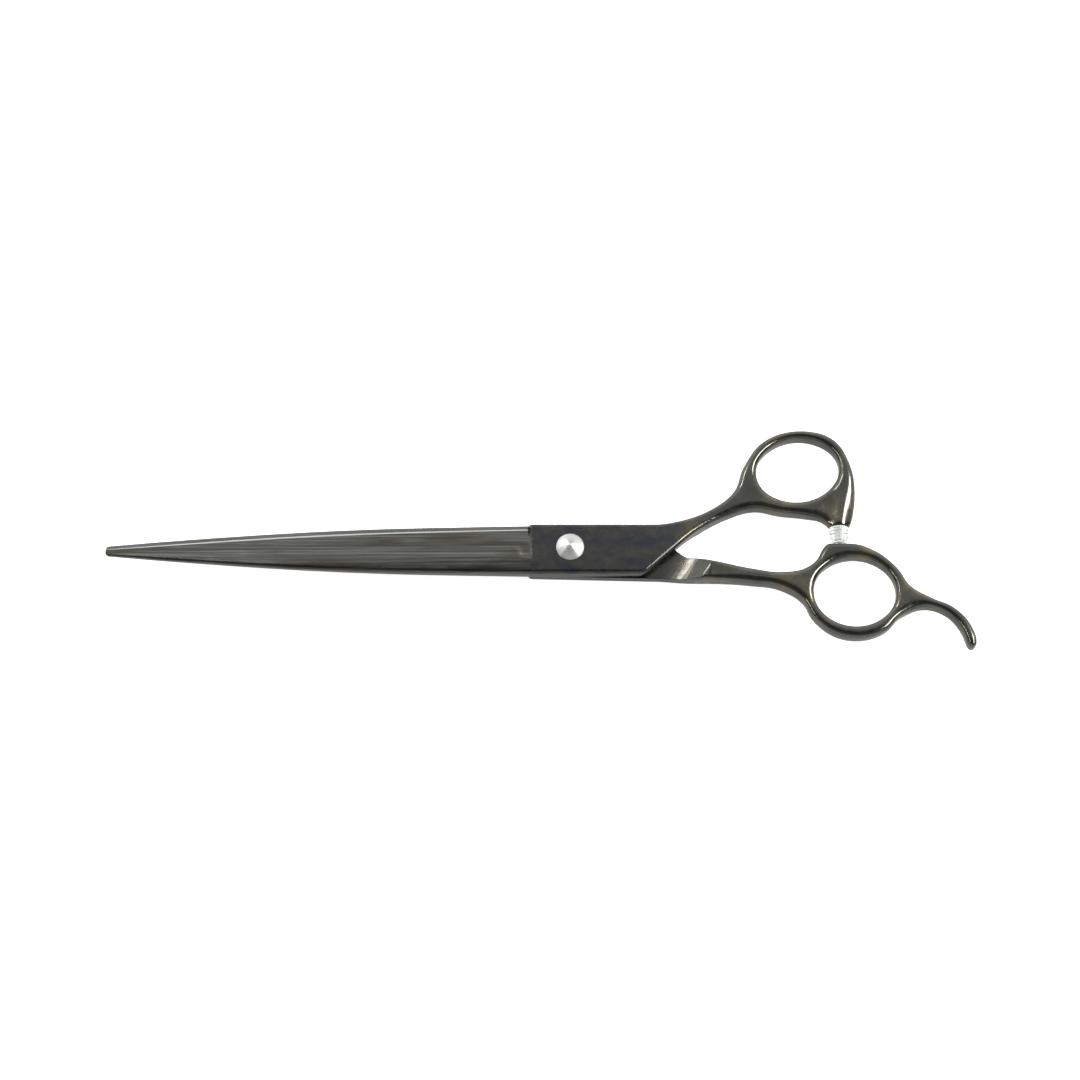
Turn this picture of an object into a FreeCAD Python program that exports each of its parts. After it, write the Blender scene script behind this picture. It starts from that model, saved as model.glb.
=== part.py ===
"""Hair cutting shears with long blades: two welded halves on a domed pivot stud, with an
adjustable spring stack at the back, a clear stop bumper and a finger rest.

The shears lie closed on their back. X runs along them, from the blade tips (-X) to the finger
rest (+X), Y lies across them towards the thumb ring, and +Z is up, out of the front faces. The
origin is on the pivot axis, in the flat face of the tension dial that the shears rest on.
Shapes are drawn about the plane in which the two halves meet and lifted to their place at the
end. The thumb half is in front (above that plane), and its blade has its spine at -Y. The finger
half is behind, and its blade is the thumb blade turned half a turn about X.
"""

import FreeCAD
import Part
import math
import os

# Stack, measured from the plane in which the two halves meet.
MEET_Z = 5.2            # height of that plane above the rest plane
GAP = 0.05              # each inner face stands this far from it
PLATE_Z = 3.55          # outer faces of the two pivot plates
HANDLE_Z = 2.9          # outer faces of the handles
TAPER_X = 24.0          # the plates start to thin here
WELD_X = 42.5           # and have reached the thickness of the handles here
ROUND = 1.15            # rounding of the outer edges

# Blades.
TIP_X = -132.8
TIP_ROUND = 0.9         # rounding of the blunt tip, seen from the front
GRIND_END_X = -12.2     # foot of the shoulder where the outer grind stops
PLATE_X = -10.9         # left end of the pivot plates
EDGE_T = 0.18           # thickness left at the cutting edge
# x, spine, cutting edge, spine rounding, ridge, width of the edge grind, top face
BLADE_STATIONS = [
    (TIP_X, 1.55, 0.55, 0.40, -1.05, 0.5, 1.2),
    (-118.0, 2.85, 1.70, 0.50, -2.10, 1.1, 1.5),
    (-95.0, 4.65, 3.45, 0.65, -3.80, 1.9, 1.95),
    (-70.0, 6.20, 4.95, 0.80, -4.85, 2.4, 2.45),
    (-40.0, 7.28, 6.05, 0.95, -4.10, 2.6, 3.0),
    (PLATE_X, 7.80, 6.70, ROUND, -3.40, 2.5, PLATE_Z),
]
BELLY = 0.16            # how far the two outer grinds stand proud of one flat grind
HOLLOW = 0.28           # hollow of the inner face at the plate
LAND = 0.08             # flat land beside the hollow, as a share of the blade's width

# Cove that thins each half from full handle thickness to its plate.
COVE_R = 26.0
COVE_FOOT = 24.8        # distance of the cove's foot from the pivot axis
COVE_TURN = 30.0        # degrees between the cove's straight lines and Y

# Outline of the thumb half, running from the plate's top right corner round the ring and back.
THUMB_PLATE_TOP = 7.3
THUMB_PLATE_LOW = -7.8
THUMB_UPPER = [
    (TAPER_X, THUMB_PLATE_TOP), (32.0, 8.6), (41.0, 12.4), (47.1, 17.6), (50.4, 25.8), (55.4, 32.8),
    (65.8, 36.7), (76.6, 33.8), (81.3, 25.0), (82.0, 16.5), (80.9, 9.3),
]
THUMB_LOWER = [
    (74.2, 7.5), (72.2, 9.3), (67.6, 10.4), (60.5, 11.2), (53.0, 12.6), (44.9, 10.2), (37.3, 6.1),
    (31.6, 1.5),
]
THUMB_CORNER = [(22.9, -6.4), (21.6, -7.35), (19.6, THUMB_PLATE_LOW)]
THUMB_HOLE = (65.75, 24.35, 12.1, 9.85, 11.0)      # centre, half lengths, turn in degrees
BOSS_END_Y = 7.0
BOSS_LEFT_X = 74.5
BOSS_RIGHT_X = 80.1
BOSS_X = 77.2

# Outline of the finger half, run the same way, with the stop pad and the finger rest.
FINGER_PLATE_TOP = 7.8
FINGER_PLATE_LOW = -7.5
FINGER_LOWER = [
    (TAPER_X, -8.3), (33.0, -9.0), (42.3, -9.3), (51.0, -10.0), (59.5, -11.3), (65.5, -14.8),
    (69.2, -21.0), (74.8, -25.4), (82.0, -26.7), (88.8, -24.7), (94.2, -19.7), (101.0, -17.3),
    (107.2, -19.7), (110.8, -24.4), (112.1, -28.2),
]
REST_TIP = (113.5, -29.6)
FINGER_UPPER = [
    (114.8, -28.1), (113.3, -22.6), (108.8, -17.5), (102.4, -14.5), (97.0, -11.2), (93.1, -5.4),
    (87.7, -0.7), (80.0, 1.85),
]
PAD_Y = 1.85
FINGER_INNER = [
    (74.0, PAD_Y), (72.2, 0.2), (70.5, -3.0), (67.2, -5.6), (60.8, -6.8), (51.0, -5.6),
    (42.7, -3.8), (36.5, -2.6), (32.3, -1.4),
]
FINGER_CORNER = [(22.9, 6.4), (21.6, 7.35), (19.6, FINGER_PLATE_TOP)]
FINGER_HOLE = (80.95, -12.8, 11.75, 10.45, 0.0)

# Pivot.
DOME_R = 3.95
DOME_H = 2.5
DOME_RIM = 0.35
NECK = 4.2              # across the flats of the square neck under the dome
NECK_Z = 0.9            # where the neck ends
STUD_R = 2.50
STUD_HOLE_R = 2.6
SHANK_END_Z = -2.9
STUD_END_Z = -4.5
THREAD_R = 1.97
BUSH_BORE_R = 2.53
BUSH_R = 3.5
GLIDE_R = 6.0           # glide washer, let into both plates
GLIDE_T = 0.7
PLATE_BACK_Z = -PLATE_Z
WELL_R = 5.6            # well in the back plate for the spring stack
WELL_Z = -2.25
SPRING_BORE_R = 2.7
SPRING_OUT_R = 5.4
SPRING_T = 0.35
THRUST_Z = -3.0         # face of the thrust washer that the spring washer bears on
THRUST_BORE_R = 2.05
HUB_Z = -3.42
DIAL_R = 7.0
DIAL_GAP = 0.1
DIAL_HUB_R = 5.4
DIAL_BORE_R = 2.0
DIAL_BORE_Z = -4.7
DIAL_NOTCHES = 12
DIAL_NOTCH_R = 1.1
LOCK_R = 2.9
LOCK_Z = -4.0

# Bumper on the thumb ring and its screw.
BUMPER_END_Y = 1.95
BUMPER_TOP_R = 2.75
BUMPER_WIDE_R = 3.0
BUMPER_NOSE_R = 1.9
BUMPER_RIBS = 5
BUMPER_RIB_H = 0.22
BUMPER_CORE_R = 1.0
CORE_END_Y = 3.4
CORE_TOP_Y = 10.0
CORE_PITCH = 0.5


def v(x, y, z=0.0):
    return FreeCAD.Vector(x, y, z)


def line(a, b):
    return Part.LineSegment(v(*a), v(*b)).toShape()


def swing(a, heading, b):
    """Arc from a to b that leaves a along the unit vector heading."""
    chord = b.sub(a)
    side = v(-chord.y, chord.x)
    turn = math.atan2(chord.x * heading.y - chord.y * heading.x, chord.dot(heading))
    middle = (a + b) * 0.5 + side * (0.5 * math.tan(turn / 2))
    if abs(turn) < 1e-4:
        return Part.LineSegment(a, b).toShape()
    return Part.Arc(a, middle, b).toShape()


def smooth(points, start, end):
    """Chain of tangent arcs through the points, leaving along start and arriving along end."""
    p = [v(*q) for q in points]
    headings = [v(*start).normalize()]
    for before, here, after in zip(p, p[1:], p[2:]):
        near = here.sub(before)
        far = after.sub(here)
        headings.append((near * (far.Length / near.Length) + far * (near.Length / far.Length)).normalize())
    headings.append(v(*end).normalize())
    edges = []
    for a, b, ta, tb in zip(p, p[1:], headings, headings[1:]):
        gap = b.sub(a)
        along = gap.dot(ta + tb)
        bend = 2 * (1 - ta.dot(tb))
        if bend < 1e-9:
            reach = gap.dot(gap) / (2 * along)
        else:
            reach = (math.sqrt(along * along + bend * gap.dot(gap)) - along) / bend
        joint = (a + b + (ta - tb) * reach) * 0.5
        edges.append(swing(a, ta, joint))
        back = swing(b, tb * -1, joint)
        edges.append(back)
    return edges


def oval(x, y, a, b, turn):
    """Closed chain of four tangent arcs, close to an ellipse with half lengths a and b."""
    long = a - b
    cx = 1.7 * long
    cy = (2 * long * cx - long * long) / (2 * (cx - long))
    reach = (a - cx) / math.hypot(cx, cy)
    jx = cx + cx * reach
    jy = cy * reach
    corners = [(jx, -jy), (jx, jy), (-jx, jy), (-jx, -jy)]
    crowns = [(a, 0), (0, b), (-a, 0), (0, -b)]
    edges = []
    for p, q, r in zip(corners, crowns, corners[1:] + corners[:1]):
        edge = Part.Arc(v(*p), v(*q), v(*r)).toShape()
        edge.rotate(v(0, 0), v(0, 0, 1), turn)
        edge.translate(v(x, y))
        edges.append(edge)
    return edges


def prism(edges, z0, z1):
    """Solid standing on a closed chain of edges drawn in the XY plane."""
    face = Part.Face(Part.Wire(Part.__sortEdges__(edges)))
    face.translate(v(0, 0, z0))
    return face.extrude(v(0, 0, z1 - z0))


def middle_of(edge):
    return edge.valueAt(0.5 * (edge.FirstParameter + edge.LastParameter))


def rounded(solid, radius, keep):
    """Round the edges whose middle point passes the test."""
    edges = [edge for edge in solid.Edges if keep(middle_of(edge))]
    return solid.makeFillet(radius, edges)




def station(x, spine, edge, round_r, ridge, grind, top):
    """Closed section of the thumb blade at x."""
    width = spine + edge
    foot = GAP + EDGE_T
    start = edge - grind
    drop = (top - foot) * (start - ridge) / (edge - ridge)
    start_z = top - drop + BELLY * width / 14.5
    land = LAND * width
    hollow = HOLLOW * (width / 14.5) ** 2
    corner = round_r * (1 - math.sqrt(0.5))

    def at(y, z):
        return v(x, y, z)

    corners = [
        at(-spine + round_r, top),
        at(ridge, top),
        at(start, start_z),
        at(edge, foot),
        at(edge, GAP),
        at(edge - land, GAP),
    ]
    edges = [Part.LineSegment(p, q).toShape() for p, q in zip(corners, corners[1:])]
    middle = at((edge - spine) / 2, GAP + hollow)
    edges.append(Part.Arc(corners[-1], middle, at(-spine + land, GAP)).toShape())
    edges.append(Part.LineSegment(at(-spine + land, GAP), at(-spine, GAP)).toShape())
    edges.append(Part.LineSegment(at(-spine, GAP), at(-spine, top - round_r)).toShape())
    shoulder = at(-spine + corner, top - corner)
    edges.append(Part.Arc(at(-spine, top - round_r), shoulder, corners[0]).toShape())
    return Part.Wire(edges)


def blade():
    """Thumb blade from its blunt tip to the plate, ground outside and hollow inside."""
    solid = Part.makeLoft([station(*row) for row in BLADE_STATIONS], True, False)
    low = -BLADE_STATIONS[0][1] + TIP_ROUND
    high = BLADE_STATIONS[0][2] - TIP_ROUND
    centre_x = TIP_X + TIP_ROUND
    block = Part.makeBox(TIP_ROUND + 1, 8, 8, v(TIP_X - 1, -4, -4))
    block = block.cut(Part.makeBox(4, high - low, 8, v(TIP_X, low, -4)))
    for y in (low, high):
        block = block.cut(Part.makeCylinder(TIP_ROUND, 8, v(centre_x, y, -4)))
    return solid.cut(block)


def grind_shoulder(edge_y):
    """Sloping end of the plate, where the outer grind runs out."""
    ridge = BLADE_STATIONS[-1][4]
    low = GAP + 0.05
    top = PLATE_Z
    points = [(ridge, low), (ridge, top), (edge_y - ROUND, top), (edge_y, top - ROUND), (edge_y, low)]
    block = Part.makePolygon([v(PLATE_X, y, z) for y, z in points + points[:1]])
    block = Part.Face(block).extrude(v(GRIND_END_X - PLATE_X, 0, 0))
    slope = [(PLATE_X, low), (PLATE_X, PLATE_Z), (GRIND_END_X, low)]
    slope = Part.makePolygon([v(x, -20, z) for x, z in slope + slope[:1]])
    return block.common(Part.Face(slope).extrude(v(0, 40, 0)))


def thick_slab():
    """Room for one half up to its weld: flat over the plate, thinning towards the handle."""
    end_x = WELD_X + 10
    end_z = PLATE_Z - (PLATE_Z - HANDLE_Z) * (end_x - TAPER_X) / (WELD_X - TAPER_X)
    points = [(-30, PLATE_Z), (TAPER_X, PLATE_Z), (end_x, end_z), (end_x, -HANDLE_Z), (-30, -HANDLE_Z)]
    outline = Part.makePolygon([v(x, -60, z) for x, z in points + points[:1]])
    return Part.Face(outline).extrude(v(0, 120, 0))


def cove():
    """What is cut away behind the plate, with the scoop up to the handle's full thickness."""
    depth = 6.0
    reach = math.sqrt(COVE_R ** 2 - (COVE_R - depth) ** 2)
    half_reach = math.sqrt(COVE_R ** 2 - (COVE_R - depth / 4) ** 2)
    foot = v(COVE_FOOT, 0, GAP)
    middle = v(COVE_FOOT + half_reach, 0, GAP - depth / 4)
    end = v(COVE_FOOT + reach, 0, GAP - depth)
    far_low = v(-60, 0, GAP - depth)
    far_high = v(-60, 0, GAP)
    edges = [
        Part.LineSegment(far_high, foot).toShape(),
        Part.Arc(foot, middle, end).toShape(),
        Part.LineSegment(end, far_low).toShape(),
        Part.LineSegment(far_low, far_high).toShape(),
    ]
    cutter = Part.Face(Part.Wire(edges)).extrude(v(0, 120, 0))
    cutter.translate(v(0, -60, 0))
    cutter.rotate(v(0, 0), v(0, 0, 1), COVE_TURN)
    return cutter


def fore_part(outline, edge_y):
    """Blade, plate and tail of one half, up to the weld."""
    tail = prism(outline, -5, 5).common(thick_slab())
    tail = tail.common(Part.makeBox(WELD_X - PLATE_X, 120, 20, v(PLATE_X, -60, -10))).Solids[0]
    for side in (1, -1):
        tail = rounded(
            tail, ROUND, lambda m: m.z * side > HANDLE_Z - 0.2 and TAPER_X + 0.5 < m.x < WELD_X - 0.1
        )
    tail = tail.cut(cove())
    return tail.fuse([blade(), grind_shoulder(edge_y)]).removeSplitter()


def handle(outline, hole, keep):
    """Handle of one half, from the weld on."""
    solid = prism(outline, -HANDLE_Z, HANDLE_Z).cut(prism(hole, -6, 6))
    solid = rounded(solid.Solids[0], ROUND, lambda m: abs(m.z) > HANDLE_Z - 0.1 and m.x > WELD_X and keep(m))
    return solid.common(Part.makeBox(120, 120, 20, v(WELD_X, -60, -10)))


def thumb_outline():
    boss = [THUMB_UPPER[-1], (BOSS_RIGHT_X, BOSS_END_Y), (BOSS_LEFT_X, BOSS_END_Y), THUMB_LOWER[0]]
    plate = [THUMB_CORNER[-1], (PLATE_X, THUMB_PLATE_LOW), (PLATE_X, THUMB_PLATE_TOP), THUMB_UPPER[0]]
    edges = smooth(THUMB_UPPER, (1, 0), (-0.25, -1))
    edges += [line(a, b) for a, b in zip(boss, boss[1:])]
    edges += smooth(THUMB_LOWER, (-0.6, 1), (-0.73, -0.68))
    edges.append(line(THUMB_LOWER[-1], THUMB_CORNER[0]))
    edges += smooth(THUMB_CORNER, (-0.74, -0.67), (-1, 0))
    edges += [line(a, b) for a, b in zip(plate, plate[1:])]
    return edges


def finger_outline():
    tip = [FINGER_LOWER[-1], REST_TIP, FINGER_UPPER[0]]
    plate = [FINGER_CORNER[-1], (PLATE_X, FINGER_PLATE_TOP), (PLATE_X, FINGER_PLATE_LOW), FINGER_LOWER[0]]
    edges = smooth(FINGER_LOWER, (34.9, -1.0), (0.3, -1))
    edges += smooth(tip, (0.3, -1), (0.05, 1))
    edges += smooth(FINGER_UPPER, (0.05, 1), (-1, 0))
    edges.append(line(FINGER_UPPER[-1], FINGER_INNER[0]))
    edges += smooth(FINGER_INNER, (-1, 0), (-0.77, 0.64))
    edges.append(line(FINGER_INNER[-1], FINGER_CORNER[0]))
    edges += smooth(FINGER_CORNER, (-0.74, 0.67), (-1, 0))
    edges += [line(a, b) for a, b in zip(plate, plate[1:])]
    return edges


def other_side(shapes):
    """The shapes turned half a turn about X."""
    for shape in shapes:
        shape.rotate(v(0, 0, 0), v(1, 0, 0), 180)
    return shapes


def rod(r, z0, z1):
    return Part.makeCylinder(r, z1 - z0, v(0, 0, z0))


def ring(r, bore, z0, z1):
    return rod(r, z0, z1).cut(rod(bore, z0 - 1, z1 + 1))


def turned(profile):
    """Solid turned about Z from points given as (radius, height)."""
    outline = Part.makePolygon([v(r, 0, z) for r, z in profile + profile[:1]])
    return Part.Face(outline).revolve(v(0, 0, 0), v(0, 0, 1), 360)


def pivot_stud():
    rim = rod(DOME_R, PLATE_Z, PLATE_Z + DOME_RIM)
    height = DOME_H - DOME_RIM
    ball_r = (DOME_R ** 2 + height ** 2) / (2 * height)
    ball = Part.makeSphere(ball_r, v(0, 0, PLATE_Z + DOME_H - ball_r))
    cap = ball.common(rod(DOME_R, PLATE_Z + DOME_RIM, PLATE_Z + DOME_H + 1))
    neck = Part.makeBox(NECK, NECK, PLATE_Z - NECK_Z, v(-NECK / 2, -NECK / 2, NECK_Z))
    shank = rod(STUD_R, SHANK_END_Z, NECK_Z)
    thread = rod(THREAD_R, STUD_END_Z, SHANK_END_Z)
    return rim.fuse([cap, neck, shank, thread]).removeSplitter()


def spring_washer():
    """Dished washer between the well's floor, at its bore, and the thrust washer, at its rim."""
    return turned([
        (SPRING_BORE_R, WELL_Z),
        (SPRING_BORE_R, WELL_Z - SPRING_T),
        (SPRING_OUT_R, THRUST_Z),
        (SPRING_OUT_R, THRUST_Z + SPRING_T),
    ])


def tension_dial():
    top = HUB_Z
    rim = PLATE_BACK_Z - DIAL_GAP
    c = 0.4
    dial = turned([(0, top), (DIAL_HUB_R, top), (DIAL_HUB_R, rim), (DIAL_R - c, rim), (DIAL_R, rim - c),
                   (DIAL_R, c - MEET_Z), (DIAL_R - c, -MEET_Z), (0, -MEET_Z)])
    dial = dial.cut([rod(DIAL_BORE_R, DIAL_BORE_Z, top + 1), rod(LOCK_R, LOCK_Z, top + 1)])
    notches = []
    for i in range(DIAL_NOTCHES):
        angle = 2 * math.pi * i / DIAL_NOTCHES
        notch = rod(DIAL_NOTCH_R, -MEET_Z - 1, rim + 1)
        away = DIAL_R + 0.45 * DIAL_NOTCH_R
        notch.translate(v(away * math.cos(angle), away * math.sin(angle)))
        notches.append(notch)
    return dial.cut(notches)


def along_y(shape):
    """Turn a shape drawn about Z so that it points along Y in the middle of the boss."""
    shape.rotate(v(0, 0, 0), v(1, 0, 0), -90)
    shape.translate(v(BOSS_X, 0, 0))
    return shape


def bumper():
    """Soft barrel-shaped stop with ribs round it and a blind bore for its screw."""
    low = BUMPER_END_Y + 0.3
    top = BOSS_END_Y - 0.4
    pitch = (top - low) / BUMPER_RIBS
    profile = [(BUMPER_CORE_R, BOSS_END_Y), (BUMPER_TOP_R, BOSS_END_Y), (BUMPER_TOP_R + 0.1, top)]
    for i in range(BUMPER_RIBS):
        for step, sink in ((0.25, BUMPER_RIB_H), (0.55, BUMPER_RIB_H), (0.8, 0), (1.0, 0)):
            share = (i + step) / BUMPER_RIBS
            r = BUMPER_WIDE_R - (BUMPER_WIDE_R - BUMPER_NOSE_R) * share ** 1.8
            profile.append((r - sink, top - (i + step) * pitch))
    profile += [(BUMPER_NOSE_R - 0.3, BUMPER_END_Y), (0, BUMPER_END_Y)]
    profile += [(0, CORE_END_Y), (BUMPER_CORE_R, CORE_END_Y)]
    return along_y(turned(profile))


def bumper_stud():
    """Screw that holds the bumper, cut with plain thread grooves where it shows."""
    screw = rod(BUMPER_CORE_R, CORE_END_Y, CORE_TOP_Y)
    grooves = []
    y = CORE_END_Y + CORE_PITCH
    while y < BOSS_END_Y - 0.3:
        r = BUMPER_CORE_R
        groove = turned([(r + 0.1, y - 0.2), (r + 0.1, y + 0.2), (r - 0.22, y)])
        grooves.append(groove)
        y += CORE_PITCH
    screw = screw.cut(grooves)
    return along_y(screw)


def build():
    core_hole = rod(BUMPER_CORE_R, BOSS_END_Y - 1, CORE_TOP_Y)
    thumb_blade = fore_part(thumb_outline(), THUMB_PLATE_TOP)
    thumb_blade = thumb_blade.cut([
        Part.makeBox(NECK, NECK, 5, v(-NECK / 2, -NECK / 2, NECK_Z)),
        rod(STUD_HOLE_R, -1, NECK_Z),
        rod(GLIDE_R + 0.1, -1, GLIDE_T / 2 + 0.03),
    ])
    thumb_handle = handle(thumb_outline(), oval(*THUMB_HOLE), lambda m: abs(m.y - BOSS_END_Y) > 0.01)
    thumb_handle = thumb_handle.cut(along_y(core_hole))

    # The finger half is drawn turned over, then turned back.
    outline = other_side(finger_outline())
    finger_blade = fore_part(outline, -FINGER_PLATE_LOW)
    finger_handle = handle(outline, other_side(oval(*FINGER_HOLE)), lambda m: True)
    other_side([finger_blade, finger_handle])
    finger_blade = finger_blade.cut([
        rod(BUSH_R, -5, 0),
        rod(GLIDE_R, -GLIDE_T / 2, 1),
        rod(WELL_R, -5, WELL_Z),
    ])
    return {
        "thumb_blade": thumb_blade,
        "thumb_handle": thumb_handle,
        "finger_blade": finger_blade,
        "finger_handle": finger_handle,
        "pivot_stud": pivot_stud(),
        "pivot_bushing": ring(BUSH_R, BUSH_BORE_R, WELL_Z, -GLIDE_T / 2),
        "glide_washer": ring(GLIDE_R, STUD_HOLE_R, -GLIDE_T / 2, GLIDE_T / 2),
        "spring_washer": spring_washer(),
        "thrust_washer": ring(SPRING_OUT_R, THRUST_BORE_R, HUB_Z + 0.02, THRUST_Z),
        "tension_dial": tension_dial(),
        "dial_lock_ring": ring(LOCK_R, DIAL_BORE_R, LOCK_Z, HUB_Z),
        "bumper": bumper(),
        "bumper_stud": bumper_stud(),
    }


os.makedirs("parts", exist_ok=True)
for name, shape in build().items():
    if shape.ShapeType != "Solid":
        shape = shape.Solids[0]
    shape.translate(v(0, 0, MEET_Z))
    shape.exportStep("parts/" + name + ".step")
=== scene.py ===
"""Looks for a pair of long hair cutting shears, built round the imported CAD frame."""

import bmesh
import bpy
import math
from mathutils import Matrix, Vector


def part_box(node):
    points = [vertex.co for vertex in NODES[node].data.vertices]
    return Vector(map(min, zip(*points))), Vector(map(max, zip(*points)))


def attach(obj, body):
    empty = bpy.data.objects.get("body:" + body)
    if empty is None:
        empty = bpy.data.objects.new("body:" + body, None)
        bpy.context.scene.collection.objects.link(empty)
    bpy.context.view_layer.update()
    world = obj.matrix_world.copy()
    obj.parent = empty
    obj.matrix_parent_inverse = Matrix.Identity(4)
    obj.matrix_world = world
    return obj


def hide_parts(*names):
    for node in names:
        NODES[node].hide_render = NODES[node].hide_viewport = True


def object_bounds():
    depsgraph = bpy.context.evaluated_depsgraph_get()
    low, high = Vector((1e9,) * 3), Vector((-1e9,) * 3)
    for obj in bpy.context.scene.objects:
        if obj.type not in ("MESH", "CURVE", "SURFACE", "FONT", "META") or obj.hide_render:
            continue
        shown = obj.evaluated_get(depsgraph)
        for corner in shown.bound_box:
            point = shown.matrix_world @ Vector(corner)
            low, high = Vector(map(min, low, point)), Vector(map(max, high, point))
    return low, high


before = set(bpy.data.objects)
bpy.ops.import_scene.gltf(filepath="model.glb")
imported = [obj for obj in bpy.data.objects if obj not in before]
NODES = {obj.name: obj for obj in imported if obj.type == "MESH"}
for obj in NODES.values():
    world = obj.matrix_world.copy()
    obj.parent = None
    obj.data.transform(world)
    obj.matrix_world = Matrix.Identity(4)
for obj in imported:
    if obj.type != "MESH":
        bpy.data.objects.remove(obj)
CAD_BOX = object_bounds()
MM = 0.001

# Places and sizes on the halves, in millimetres
MEET_Z = 5.2                    # height of the plane in which the two halves meet
PLATE_FROM = (-12.0, -11.2)     # X over which the blade's finish gives way to the plate's
HANDLE_FROM = (24.0, 40.0)      # the same from plate to handle
BEVEL_UNTIL = (38.8, 39.4)      # the same from worn edges to none
EDGE_LINE = (0.30, 0.40)        # the bright cutting edge fades out this far off the meeting plane
EDGE_ROUND = 0.24               # radius of the worn edges
MARK_DEPTH = 0.02
CREST_LOW_X, CREST_LOW_Y = 77.2, 7.0    # the crest from the thumb ring down into the bumper's boss
CREST_HIGH_X, CREST_HIGH_Y = 80.0, 27.0
CREST_PAST = 1.0                # it runs on past its low end by this much
CREST_WIDTH = 3.1               # half width of the crest
CREST_REACH = 6.0               # how far to each side the hollows beside it reach

# Shares
CREST_DEPTH = 0.5               # of the half thickness, taken off beside the crest at its low end
MARK_STRENGTH = 0.05
FACING = 0.3                    # a normal's Z past which a face fully counts as inner or outer

# Linear colours, the ramps as stops of a pattern's value and its colour
COAT_TINT = (0.72, 0.72, 0.70, 1)
GROUND = [(0.32, (0.026, 0.028, 0.026)), (0.50, (0.046, 0.047, 0.042)), (0.66, (0.074, 0.075, 0.068))]
SATIN = [(0.32, (0.066, 0.067, 0.062)), (0.66, (0.102, 0.103, 0.096))]
PLATE = [
    (0.36, (0.025, 0.029, 0.037)),
    (0.44, (0.031, 0.032, 0.034)),
    (0.54, (0.037, 0.037, 0.035)),
    (0.70, (0.044, 0.043, 0.040)),
]
HANDLE = [(0.30, (0.042, 0.043, 0.038)), (0.52, (0.060, 0.060, 0.052)), (0.70, (0.092, 0.079, 0.055))]
STAIN = (0.026, 0.023, 0.017)
CUTTING_EDGE = (0.26, 0.26, 0.25)
STEEL = (0.62, 0.62, 0.60)
TURNED_STEEL = (0.42, 0.42, 0.41)
BRONZE = (0.55, 0.38, 0.20)
NYLON = (0.82, 0.82, 0.78)
CLEAR_SOFT = (0.86, 0.92, 0.86)

# Roughness and height, as ramps or as a grey
BLADE_ROUGH = [(0.3, 0.18), (0.7, 0.27)]
PLATE_ROUGH = [(0.3, 0.20), (0.7, 0.30)]
HANDLE_ROUGH = [(0.3, 0.10), (0.7, 0.20)]
SATIN_ROUGH = (0.36, 0.36, 0.36)
LEVEL = (0.5, 0.5, 0.5)         # a height with no marks in it

# Noise patterns, as repeats per millimetre along X, Y and Z
LONG_MARKS = (0.022, 1.7, 0.5)
BROAD_MARKS = (0.012, 0.42, 0.2)
STAINS = (0.035, 0.22, 0.22)
BLOTCHES = (0.17, 0.24, 0.24)
CLOUDS = (0.10, 0.13, 0.13)
FINE_GRAIN = (0.9, 0.9, 0.9)
METAL_GRAIN = (1.5, 1.5, 1.5)
PLASTIC_GRAIN = (0.8, 0.8, 0.8)
FLOOR_GRAIN = (0.01, 0.01, 0.01)
WEAR = [(0.3, 0.6), (0.7, 1.0)]     # how the fine grain dims plate and handle

# How the rear of each half is sculpted, in metres
SPLIT_X = 40.0 * MM             # from here to the rings the halves are sculpted round
LAP = 0.5 * MM                  # the front piece runs on over the sculpted one by this much
VOXEL = 0.20 * MM
SOFTEN_FROM = 40.6 * MM         # X at which the smoothing sets in
SOFTEN_OVER = 8.0 * MM          # and over what length it grows to its full strength
SMOOTH_PASSES = 140
SMOOTH_FACTOR = 0.6
GROW = 0.08 * MM                # makes up for what the smoothing takes off
CREASE = math.radians(12)       # edges of the front piece sharper than this stay crisp
WELD = 0.002 * MM               # vertices closer than this are one
CUT_EXACT = 0.0001 * MM         # how near the cutting plane a vertex is taken as on it
RIM_NEAR = 0.001 * MM           # the same for the rim that is closed after the cut
CORE_Z = 0.5 * (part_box("bumper")[0][2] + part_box("bumper")[1][2])     # the crest stands off this height


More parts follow.
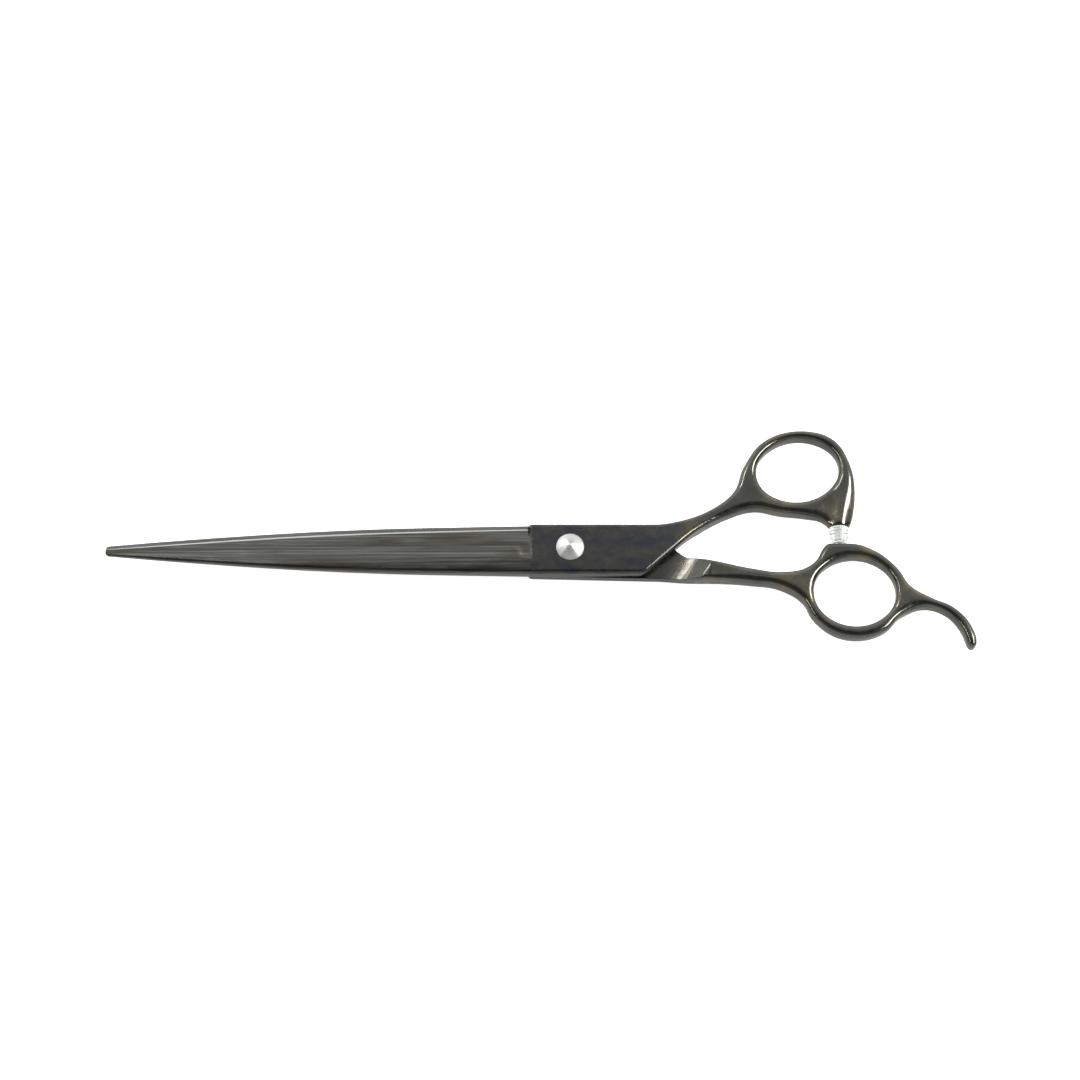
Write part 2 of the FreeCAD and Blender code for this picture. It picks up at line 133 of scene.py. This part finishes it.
# ---------------------------------------------------------------- node helpers
class Graph:
    """Short way to wire a material's nodes."""

    def __init__(self, name):
        self.material = bpy.data.materials.new(name)
        self.material.use_nodes = True
        self.tree = self.material.node_tree
        self.shader = self.tree.nodes["Principled BSDF"]

    def add(self, kind, **settings):
        node = self.tree.nodes.new("ShaderNode" + kind)
        for key, value in settings.items():
            setattr(node, key, value)
        return node

    def link(self, a, b):
        self.tree.links.new(a, b)

    def place(self, scale=(1, 1, 1), offset=(0, 0, 0)):
        """Object coordinates in millimetres, times scale and then moved by offset."""
        coordinates = self.add("TexCoord")
        mapping = self.add("Mapping")
        mapping.inputs["Scale"].default_value = [1000 * s for s in scale]
        mapping.inputs["Location"].default_value = offset
        self.link(coordinates.outputs["Object"], mapping.inputs["Vector"])
        return mapping.outputs["Vector"]

    def noise(self, where, detail=3.0, roughness=0.5, distortion=0.0):
        node = self.add("TexNoise")
        node.inputs["Scale"].default_value = 1.0
        node.inputs["Detail"].default_value = detail
        node.inputs["Roughness"].default_value = roughness
        node.inputs["Distortion"].default_value = distortion
        self.link(where, node.inputs["Vector"])
        return node.outputs["Fac"]

    def ramp(self, value, stops):
        """Colour ramp through stops, each a position and a grey level or a colour."""
        node = self.add("ValToRGB")
        elements = node.color_ramp.elements
        while len(elements) < len(stops):
            elements.new(0.5)
        for element, (position, colour) in zip(elements, stops):
            element.position = position
            if not isinstance(colour, tuple):
                colour = (colour, colour, colour)
            element.color = (*colour, 1)
        self.link(value, node.inputs["Fac"])
        return node.outputs["Color"]

    def mix(self, factor, a, b, blend="MIX"):
        node = self.add("Mix", data_type="RGBA", blend_type=blend)
        for value, socket in ((factor, node.inputs[0]), (a, node.inputs[6]), (b, node.inputs[7])):
            if hasattr(value, "is_output"):
                self.link(value, socket)
            elif isinstance(value, tuple):
                socket.default_value = (*value, 1)
            else:
                socket.default_value = value
        return node.outputs[2]

    def bump(self, height, strength, distance):
        node = self.add("Bump")
        node.inputs["Strength"].default_value = strength
        node.inputs["Distance"].default_value = distance
        self.link(height, node.inputs["Height"])
        self.link(node.outputs["Normal"], self.shader.inputs["Normal"])
        return node

    def colour(self, socket):
        self.link(socket, self.shader.inputs["Base Color"])

    def rough(self, socket):
        self.link(socket, self.shader.inputs["Roughness"])


def paint(node, material):
    NODES[node].data.materials.clear()
    NODES[node].data.materials.append(material)


def metal(name):
    g = Graph(name)
    g.shader.inputs["Metallic"].default_value = 1.0
    return g


def soft_edges(g, smooth_from, marks):
    """Worn edges that catch the light, where smooth_from is 0, and shallow marks all over."""
    bevel = g.add("Bevel")
    bevel.samples = 8
    bevel.inputs["Radius"].default_value = EDGE_ROUND * MM
    plain = g.add("NewGeometry")
    blend = g.add("Mix", data_type="VECTOR")
    g.link(smooth_from, blend.inputs[0])
    g.link(bevel.outputs["Normal"], blend.inputs[4])
    g.link(plain.outputs["Normal"], blend.inputs[5])
    marked = g.bump(marks, MARK_STRENGTH, MARK_DEPTH * MM)
    g.link(blend.outputs[1], marked.inputs["Normal"])


def blend_along(g, place, start, end):
    """0 before start and 1 after end, in millimetres along X."""
    split = g.add("SeparateXYZ")
    g.link(place, split.inputs["Vector"])
    ramp = g.add("MapRange", interpolation_type="SMOOTHSTEP")
    ramp.inputs["From Min"].default_value = start
    ramp.inputs["From Max"].default_value = end
    g.link(split.outputs["X"], ramp.inputs["Value"])
    return ramp.outputs["Result"]


def off_meeting_plane(g, place):
    """Distance in millimetres from the plane in which the halves meet."""
    split = g.add("SeparateXYZ")
    g.link(place, split.inputs["Vector"])
    height = g.add("Math", operation="SUBTRACT")
    height.inputs[1].default_value = MEET_Z
    g.link(split.outputs["Z"], height.inputs[0])
    off = g.add("Math", operation="ABSOLUTE")
    g.link(height.outputs["Value"], off.inputs[0])
    return off.outputs["Value"]


def faces_in(g, side):
    """1 on the faces that look at the other half, 0 on the outer ones."""
    geometry = g.add("NewGeometry")
    split = g.add("SeparateXYZ")
    g.link(geometry.outputs["Normal"], split.inputs["Vector"])
    ramp = g.add("MapRange")
    ramp.inputs["From Min"].default_value = FACING * side
    ramp.inputs["From Max"].default_value = -FACING * side
    g.link(split.outputs["Z"], ramp.inputs["Value"])
    return ramp.outputs["Result"]


# ---------------------------------------------------------------- materials
def blade_colour(g, place, along, inner, side):
    """Long grinding marks with stains, a bright line at the cutting edge, satin inner faces."""
    broad = g.noise(g.place(BROAD_MARKS, offset=(1, 2 * side, 0)), detail=2)
    stain = g.noise(g.place(STAINS, offset=(7 * side, 3, 1)), distortion=0.6)
    ground = g.ramp(along, GROUND)
    ground = g.mix(0.5, ground, g.ramp(broad, [(0.35, 0.45), (0.62, 1.0)]), "MULTIPLY")
    ground = g.mix(g.ramp(stain, [(0.38, 0.8), (0.50, 0.0)]), ground, STAIN)
    at_edge = g.ramp(off_meeting_plane(g, place), [(EDGE_LINE[0], 1.0), (EDGE_LINE[1], 0.0)])
    ground = g.mix(at_edge, ground, CUTTING_EDGE)
    return g.mix(inner, ground, g.ramp(along, SATIN))


def plate_colour(g, fine, side):
    """Blue and brown blotches."""
    blotch = g.noise(g.place(BLOTCHES, offset=(2 * side, 5, 3)), roughness=0.55, distortion=0.5)
    return g.mix(0.06, g.ramp(blotch, PLATE), g.ramp(fine, WEAR), "MULTIPLY")


def handle_colour(g, fine):
    """Dark clouds with a bronze cast."""
    clouds = g.noise(g.place(CLOUDS), detail=4, roughness=0.55, distortion=0.5)
    return g.mix(0.25, g.ramp(clouds, HANDLE), g.ramp(fine, WEAR), "MULTIPLY")


def coated_steel(name, side):
    """Dark coating of one half; side is 1 for the front half and -1 for the back one."""
    g = metal(name)
    place = g.place()
    on_plate = blend_along(g, place, *PLATE_FROM)
    on_handle = blend_along(g, place, *HANDLE_FROM)
    inner = faces_in(g, side)
    along = g.noise(g.place(LONG_MARKS), roughness=0.62)
    fine = g.noise(g.place(FINE_GRAIN))

    front = g.mix(on_plate, blade_colour(g, place, along, inner, side), plate_colour(g, fine, side))
    g.colour(g.mix(on_handle, front, handle_colour(g, fine)))
    g.shader.inputs["Specular Tint"].default_value = COAT_TINT

    blade_rough = g.mix(inner, g.ramp(along, BLADE_ROUGH), SATIN_ROUGH)
    front_rough = g.mix(on_plate, blade_rough, g.ramp(fine, PLATE_ROUGH))
    g.rough(g.mix(on_handle, front_rough, g.ramp(fine, HANDLE_ROUGH)))
    soft_edges(g, blend_along(g, place, *BEVEL_UNTIL), g.mix(on_plate, along, LEVEL))
    return g.material


def plain_metal(name, colour, rough, turned=False):
    """Bare metal, faintly mottled; turned gives the bright wedges of a lathe's finish."""
    g = metal(name)
    grain = g.noise(g.place(METAL_GRAIN), detail=4, roughness=0.6)
    dim = tuple(c * 0.85 for c in colour)
    g.colour(g.ramp(grain, [(0.3, dim), (0.7, colour)]))
    g.rough(g.ramp(grain, [(0.3, rough), (0.7, rough + 0.1)]))
    if turned:
        g.shader.inputs["Anisotropic"].default_value = 0.92
        g.shader.inputs["Anisotropic Rotation"].default_value = 0.25
        tangent = g.add("Tangent", direction_type="RADIAL", axis="Z")
        g.link(tangent.outputs["Tangent"], g.shader.inputs["Tangent"])
    return g.material


def plastic(name, colour, rough, clear=0.0):
    g = Graph(name)
    grain = g.noise(g.place(PLASTIC_GRAIN))
    dim = tuple(c * 0.9 for c in colour)
    g.colour(g.ramp(grain, [(0.3, dim), (0.7, colour)]))
    g.rough(g.ramp(grain, [(0.3, rough), (0.7, rough + 0.08)]))
    g.shader.inputs["Transmission Weight"].default_value = clear
    g.shader.inputs["IOR"].default_value = 1.45
    return g.material


# ---------------------------------------------------------------- the two halves
def cut_copy(name, nodes, x, keep_high):
    """New object from CAD nodes' meshes, cut by a plane across X and closed there."""
    mesh = bpy.data.meshes.new(name)
    work = bmesh.new()
    for node in nodes:
        known = len(work.verts)
        work.from_mesh(NODES[node].data)
        work.verts.ensure_lookup_table()
        bmesh.ops.remove_doubles(work, verts=work.verts[known:], dist=WELD)
    geometry = work.verts[:] + work.edges[:] + work.faces[:]
    bmesh.ops.bisect_plane(work, geom=geometry, dist=CUT_EXACT, plane_co=(x, 0, 0), plane_no=(1, 0, 0),
                           clear_inner=keep_high, clear_outer=not keep_high)
    rim = [edge for edge in work.edges
           if edge.is_boundary and all(abs(vertex.co.x - x) < RIM_NEAR for vertex in edge.verts)]
    bmesh.ops.triangle_fill(work, edges=rim, use_beauty=True)
    bmesh.ops.recalc_face_normals(work, faces=work.faces)
    work.to_mesh(mesh)
    work.free()
    obj = bpy.data.objects.new(name, mesh)
    bpy.context.scene.collection.objects.link(obj)
    return obj


def apply_modifiers(obj):
    graph = bpy.context.evaluated_depsgraph_get()
    mesh = bpy.data.meshes.new_from_object(obj.evaluated_get(graph))
    obj.modifiers.clear()
    obj.data = mesh


def crest(x, y):
    """Share of the half thickness left beside the crest that runs down into the bumper's boss."""
    if not CREST_LOW_Y - CREST_PAST < y < CREST_HIGH_Y:
        return 1.0
    t = min(1.0, max(0.0, (y - CREST_LOW_Y) / (CREST_HIGH_Y - CREST_LOW_Y)))
    off = x - (CREST_LOW_X + (CREST_HIGH_X - CREST_LOW_X) * t)
    fade = (1 - t * t) ** 2
    fall = 1 - math.exp(-(off / CREST_WIDTH) ** 2)
    return 1 - CREST_DEPTH * fade * fall * math.exp(-(off / CREST_REACH) ** 2)


def finish_piece(obj, body, material):
    obj.data.materials.clear()
    obj.data.materials.append(material)
    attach(obj, body)


def sculpted_handle(name, nodes, body, material, crested):
    """One flowing piece from the end of the plate to the ring: no flats, no hard edges."""
    obj = cut_copy(name, nodes, SPLIT_X, True)
    remesh = obj.modifiers.new("remesh", "REMESH")
    remesh.mode = "VOXEL"
    remesh.voxel_size = VOXEL
    apply_modifiers(obj)
    group = obj.vertex_groups.new(name="soften")
    weights = [min(1.0, max(0.0, (vertex.co.x - SOFTEN_FROM) / SOFTEN_OVER)) for vertex in obj.data.vertices]
    for index, weight in enumerate(weights):
        group.add([index], weight, "REPLACE")
    smooth = obj.modifiers.new("smooth", "SMOOTH")
    smooth.factor = SMOOTH_FACTOR
    smooth.iterations = SMOOTH_PASSES
    smooth.vertex_group = "soften"
    apply_modifiers(obj)
    (_, low_y, _), (high_x, high_y, _) = CAD_BOX
    grow = [vertex.normal.copy() * soft for vertex, soft in zip(obj.data.vertices, weights)]
    for vertex, step in zip(obj.data.vertices, grow):
        vertex.co.x = min(vertex.co.x + step.x * GROW, high_x)
        vertex.co.y = min(max(vertex.co.y + step.y * GROW, low_y), high_y)
        if crested:
            vertex.co.z = CORE_Z + (vertex.co.z - CORE_Z) * crest(vertex.co.x / MM, vertex.co.y / MM)
    obj.data.shade_smooth()
    finish_piece(obj, body, material)
    return obj


def crisp_front(name, node, body, material):
    """Blade and plate as the CAD has them, cut where the sculpted rear takes over."""
    obj = cut_copy(name, [node], SPLIT_X + LAP, False)
    obj.data.shade_smooth()
    obj.data.set_sharp_from_angle(angle=CREASE)
    finish_piece(obj, body, material)
    return obj


for half, body, side in (("thumb", "thumb_half", 1), ("finger", "finger_half", -1)):
    blade, handle = half + "_blade", half + "_handle"
    coating = coated_steel(half + "_coating", side)
    front = crisp_front(blade + "_front", blade, body, coating)
    rear = sculpted_handle(handle + "_sculpted", [blade, handle], body, coating, half == "thumb")
    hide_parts(blade)
    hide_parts(handle)


# ---------------------------------------------------------------- pieces that keep their CAD mesh
bright = plain_metal("bright_steel", STEEL, 0.25)
for name in ("bumper_stud", "tension_dial", "spring_washer", "thrust_washer"):
    paint(name, bright)
paint("pivot_stud", plain_metal("turned_steel", TURNED_STEEL, 0.40, turned=True))
paint("pivot_bushing", plain_metal("bronze", BRONZE, 0.3))
nylon = plastic("nylon", NYLON, 0.5)
paint("glide_washer", nylon)
paint("dial_lock_ring", nylon)
paint("bumper", plastic("clear_soft_plastic", CLEAR_SOFT, 0.12, clear=0.8))


# ---------------------------------------------------------------- floor, light and camera
FLOOR_HALF = 3.0
FLOOR_DROP = 0.3 * MM           # keeps the floor clear of the dial's flat back
FLOOR_GLOW = 0.82               # its own light, so that hardly any shadow shows
FLOOR_PALE = [(0.3, 0.43), (0.7, 0.45)]

# Brightness of the sky by the angle about X, in degrees from the back horizon (0) over the top to
# the front one (180). The dark stretch round the top shows in what leans to the front.
SKY_BACK, SKY_FRONT = 1.0, 0.6
SKY_BETWEEN = ((30, 0.90), (45, 0.78), (60, 0.46), (74, 0.42), (82, 0.09), (122, 0.10), (150, 0.30))
SKY_STRENGTH = 3.2

TILT = math.radians(21)         # of the camera, off straight down
TARGET = (-0.00857, 0.00352, 0.0052)
DISTANCE = 0.8594
LENS, SENSOR = 100, 36


def pale_floor():
    mesh = bpy.data.meshes.new("floor")
    corners = [(-FLOOR_HALF, -FLOOR_HALF, 0), (FLOOR_HALF, -FLOOR_HALF, 0),
               (FLOOR_HALF, FLOOR_HALF, 0), (-FLOOR_HALF, FLOOR_HALF, 0)]
    mesh.from_pydata(corners, [], [(0, 1, 2, 3)])
    floor = bpy.data.objects.new("floor", mesh)
    floor.location = (0, 0, -FLOOR_DROP)
    bpy.context.scene.collection.objects.link(floor)
    g = Graph("floor")
    g.colour(g.ramp(g.noise(g.place(FLOOR_GRAIN)), FLOOR_PALE))
    g.shader.inputs["Emission Color"].default_value = (1, 1, 1, 1)
    g.shader.inputs["Emission Strength"].default_value = FLOOR_GLOW
    g.shader.inputs["Roughness"].default_value = 0.9
    g.shader.inputs["Specular IOR Level"].default_value = 0.1
    mesh.materials.append(g.material)


def softbox(name, where, size, power):
    """Rectangular light at where, facing the pivot."""
    data = bpy.data.lights.new(name, "AREA")
    data.shape = "RECTANGLE"
    data.size, data.size_y = size
    data.energy = power
    light = bpy.data.objects.new(name, data)
    light.location = where
    x, y, z = where
    light.rotation_euler = (math.atan2(math.hypot(x, y), z), 0, math.atan2(x, -y))
    bpy.context.scene.collection.objects.link(light)


def studio_sky():
    world = bpy.data.worlds.new("studio")
    bpy.context.scene.world = world
    world.use_nodes = True
    sky = world.node_tree
    direction = sky.nodes.new("ShaderNodeTexCoord")
    parts = sky.nodes.new("ShaderNodeSeparateXYZ")
    angle = sky.nodes.new("ShaderNodeMath")
    angle.operation = "ARCTAN2"
    share = sky.nodes.new("ShaderNodeMath")
    share.operation = "MULTIPLY"
    share.inputs[1].default_value = 1 / math.pi
    ramp = sky.nodes.new("ShaderNodeValToRGB")
    sky.links.new(direction.outputs["Generated"], parts.inputs["Vector"])
    sky.links.new(parts.outputs["Z"], angle.inputs[0])
    sky.links.new(parts.outputs["Y"], angle.inputs[1])
    sky.links.new(angle.outputs["Value"], share.inputs[0])
    sky.links.new(share.outputs["Value"], ramp.inputs["Fac"])
    sky.links.new(ramp.outputs["Color"], sky.nodes["Background"].inputs["Color"])
    elements = ramp.color_ramp.elements
    for degrees, level in SKY_BETWEEN:
        elements.new(degrees / 180).color = (level, level, level, 1)
    elements[0].color = (SKY_BACK, SKY_BACK, SKY_BACK, 1)
    elements[-1].color = (SKY_FRONT, SKY_FRONT, SKY_FRONT, 1)
    sky.nodes["Background"].inputs["Strength"].default_value = SKY_STRENGTH


def camera():
    data = bpy.data.cameras.new("camera")
    data.lens = LENS
    data.sensor_width = SENSOR
    view = bpy.data.objects.new("camera", data)
    x, y, z = TARGET
    view.location = (x, y - DISTANCE * math.sin(TILT), z + DISTANCE * math.cos(TILT))
    view.rotation_euler = (TILT, 0, 0)
    bpy.context.scene.collection.objects.link(view)
    bpy.context.scene.camera = view


pale_floor()
softbox("right_strip", (0.75, 0.05, 0.95), (0.9, 0.26), 25)
softbox("back_spot", (-0.394, 0.656, 0.924), (0.11, 0.11), 1.6)
softbox("left_strip", (-0.80, 0.10, 0.95), (0.9, 0.05), 7)
studio_sky()
camera()
bpy.context.scene.view_settings.view_transform = "Standard"
